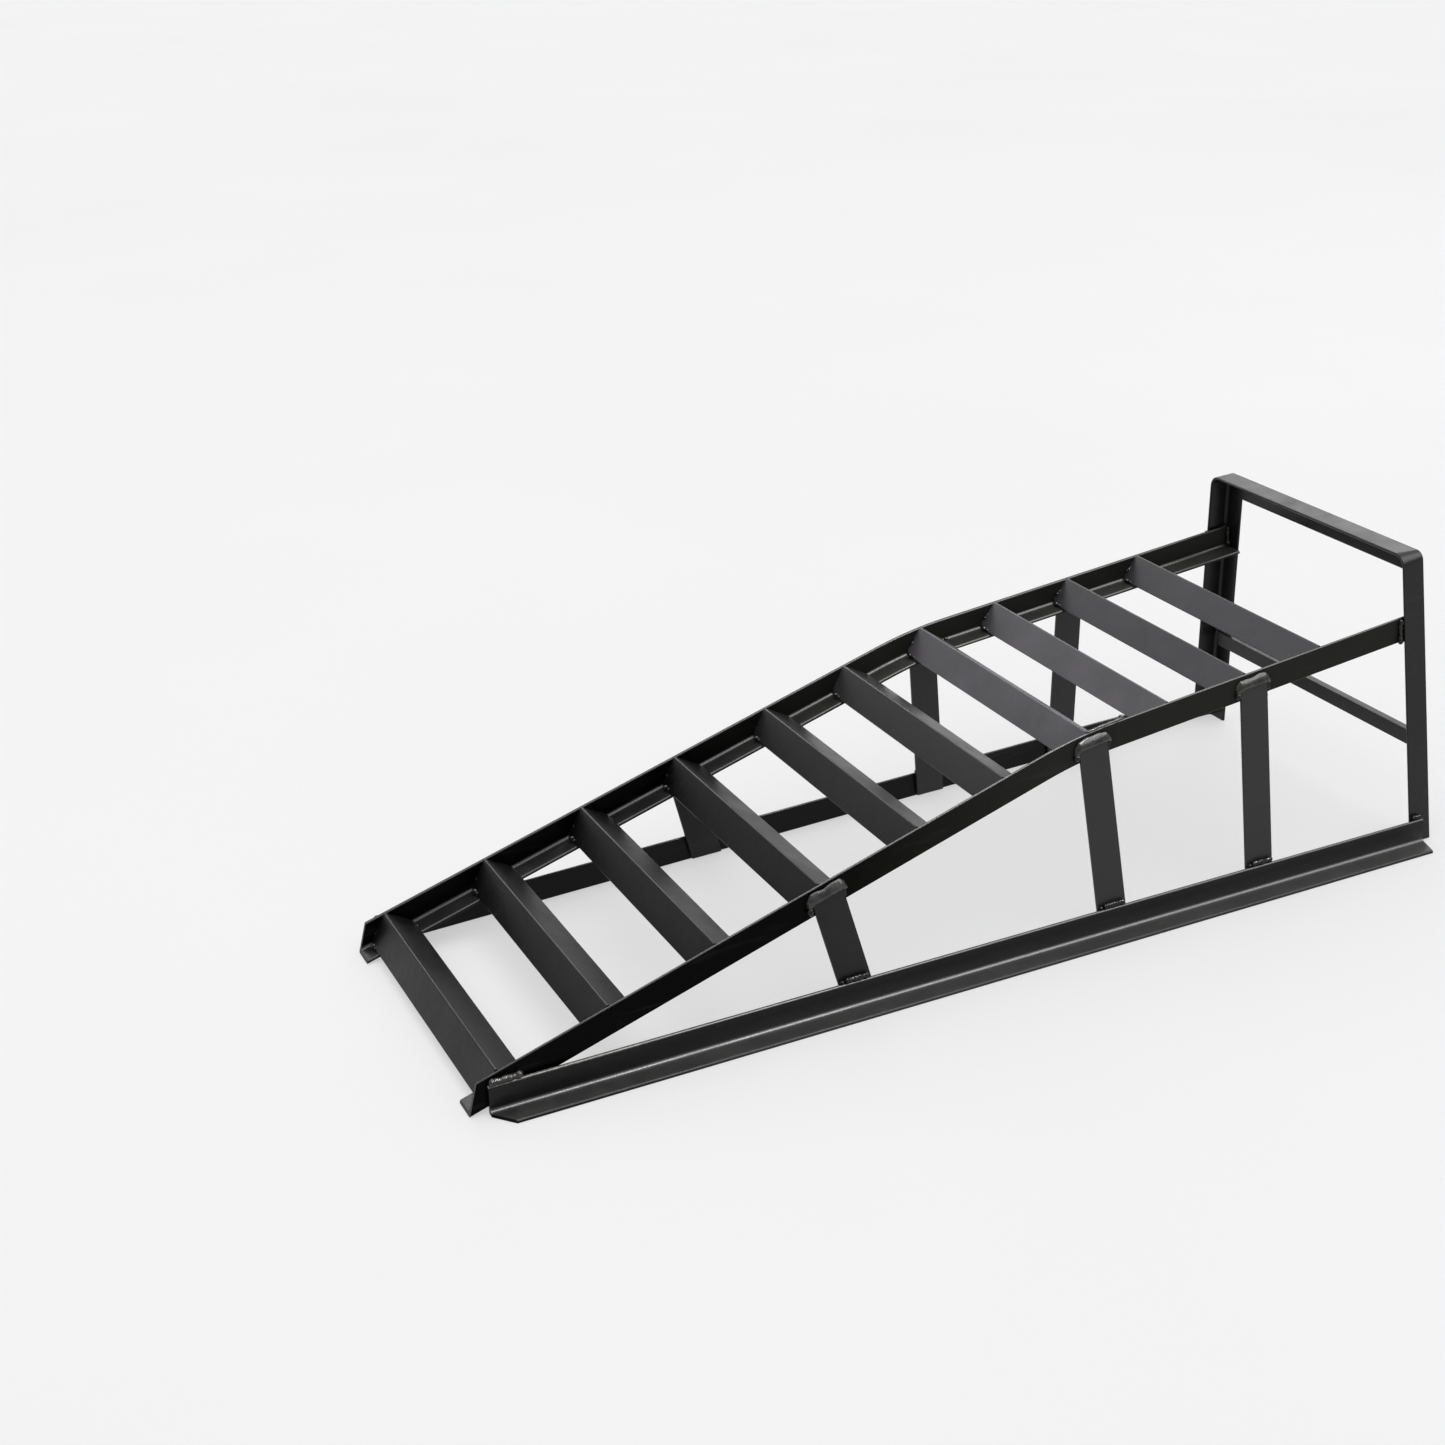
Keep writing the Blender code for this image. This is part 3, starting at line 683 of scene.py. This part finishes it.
# ---------------------------------------------------------------- stage, light, camera
FLOOR_HALF = 20.0
FLOOR_SEGMENTS = 24
SKY_AT_HORIZON = 0.30
SKY_OVERHEAD = 1.30


def make_stage():
    """One wide flat floor under the ramp."""
    mesh = bmesh.new()
    bmesh.ops.create_grid(mesh, x_segments=FLOOR_SEGMENTS, y_segments=FLOOR_SEGMENTS, size=FLOOR_HALF)
    data = bpy.data.meshes.new("studio_floor")
    mesh.to_mesh(data)
    mesh.free()
    data.materials.append(floor_material())
    floor = bpy.data.objects.new("studio_floor", data)
    bpy.context.scene.collection.objects.link(floor)


def soft_light(name, place, aim, size, power, tint=WHITE):
    """Softbox that is only there to be reflected in the paint: the sky lights the floor."""
    data = bpy.data.lights.new(name, "AREA")
    data.shape = "RECTANGLE"
    data.size, data.size_y = size
    data.energy = power
    data.color = tint
    lamp = bpy.data.objects.new(name, data)
    lamp.location = place
    lamp.visible_diffuse = False
    lamp.rotation_euler = (Vector(aim) - Vector(place)).to_track_quat("-Z", "Y").to_euler()
    bpy.context.scene.collection.objects.link(lamp)


RAMP_MIDDLE = (0.0, 0.0, 0.1)


def make_light():
    """Sky that brightens from the horizon up, and six softboxes."""
    world = bpy.data.worlds.new("studio")
    world.use_nodes = True
    tree = world.node_tree
    background = tree.nodes["Background"]
    where = tree.nodes.new("ShaderNodeTexCoord")
    split = tree.nodes.new("ShaderNodeSeparateXYZ")
    height = tree.nodes.new("ShaderNodeMapRange")
    height.inputs["To Min"].default_value = SKY_AT_HORIZON
    height.inputs["To Max"].default_value = SKY_OVERHEAD
    tree.links.new(where.outputs["Generated"], split.inputs[0])
    tree.links.new(split.outputs["Z"], height.inputs["Value"])
    tree.links.new(height.outputs["Result"], background.inputs["Strength"])
    background.inputs["Color"].default_value = (*WHITE, 1.0)
    bpy.context.scene.world = world
    bpy.context.scene.view_settings.view_transform = "Standard"
    soft_light("overhead", (0.1, 0.2, 3.2), (0.1, 0.0, 0.0), (3.0, 2.4), 72.0)
    soft_light("front_right", (1.40, -1.50, 2.30), RAMP_MIDDLE, (2.4, 2.2), 80.0)
    soft_light("back", (0.25, 3.2, 2.3), RAMP_MIDDLE, (1.6, 1.0), 36.0)
    soft_light("back_left", (-2.4, 2.7, 1.9), RAMP_MIDDLE, (2.6, 1.4), 13.0, (0.98, 0.95, 1.0))
    soft_light("spark", (0.6, -1.2, 2.8), RAMP_MIDDLE, (0.25, 0.25), 50.0)
    soft_light("back_right", (2.9, 2.6, 1.3), (0.2, 0.0, 0.1), (2.0, 1.0), 15.0)


CAMERA_PLACE = Vector((-0.9306, -1.6956, 1.0208))
CAMERA_AZIMUTH = math.radians(-28.85)
CAMERA_ELEVATION = math.radians(15.85)
CAMERA_ROLL = math.radians(-1.26)
CAMERA_LENS = 56.84
CAMERA_SENSOR = 36.0
CAMERA_SHIFT = (-0.1242, -0.2207)


def make_camera():
    """The camera that the ramp is seen from."""
    data = bpy.data.cameras.new("camera")
    data.sensor_width = CAMERA_SENSOR
    data.lens = CAMERA_LENS
    data.shift_x, data.shift_y = CAMERA_SHIFT
    camera = bpy.data.objects.new("camera", data)
    bpy.context.scene.collection.objects.link(camera)
    az, el, roll = CAMERA_AZIMUTH, CAMERA_ELEVATION, CAMERA_ROLL
    back = Vector((math.sin(az) * math.cos(el), -math.cos(az) * math.cos(el), math.sin(el)))
    right = Vector((math.cos(az), math.sin(az), 0))
    up = back.cross(right)
    across = right * math.cos(roll) + up * math.sin(roll)
    upward = up * math.cos(roll) - right * math.sin(roll)
    camera.matrix_world = Matrix((
        (across.x, upward.x, back.x, CAMERA_PLACE.x),
        (across.y, upward.y, back.y, CAMERA_PLACE.y),
        (across.z, upward.z, back.z, CAMERA_PLACE.z),
        (0, 0, 0, 1),
    ))
    data.clip_start = 0.05
    data.clip_end = 60.0
    bpy.context.scene.camera = camera


# ---------------------------------------------------------------- build the scene
paint_nodes()
for word, side in SIDES:
    for number in UPRIGHTS:
        head_weld(word, side, number)
        foot_weld(word, side, number)
    side_welds(word, side)
for number in range(1, TREADS + 1):
    tread_tacks(f"tread_{number}", TACK_SEED + 10 * number)
tread_tacks("entry_angle", ENTRY_TACK_SEED, specks=0)
bend_bead()
make_stage()
make_light()
make_camera()
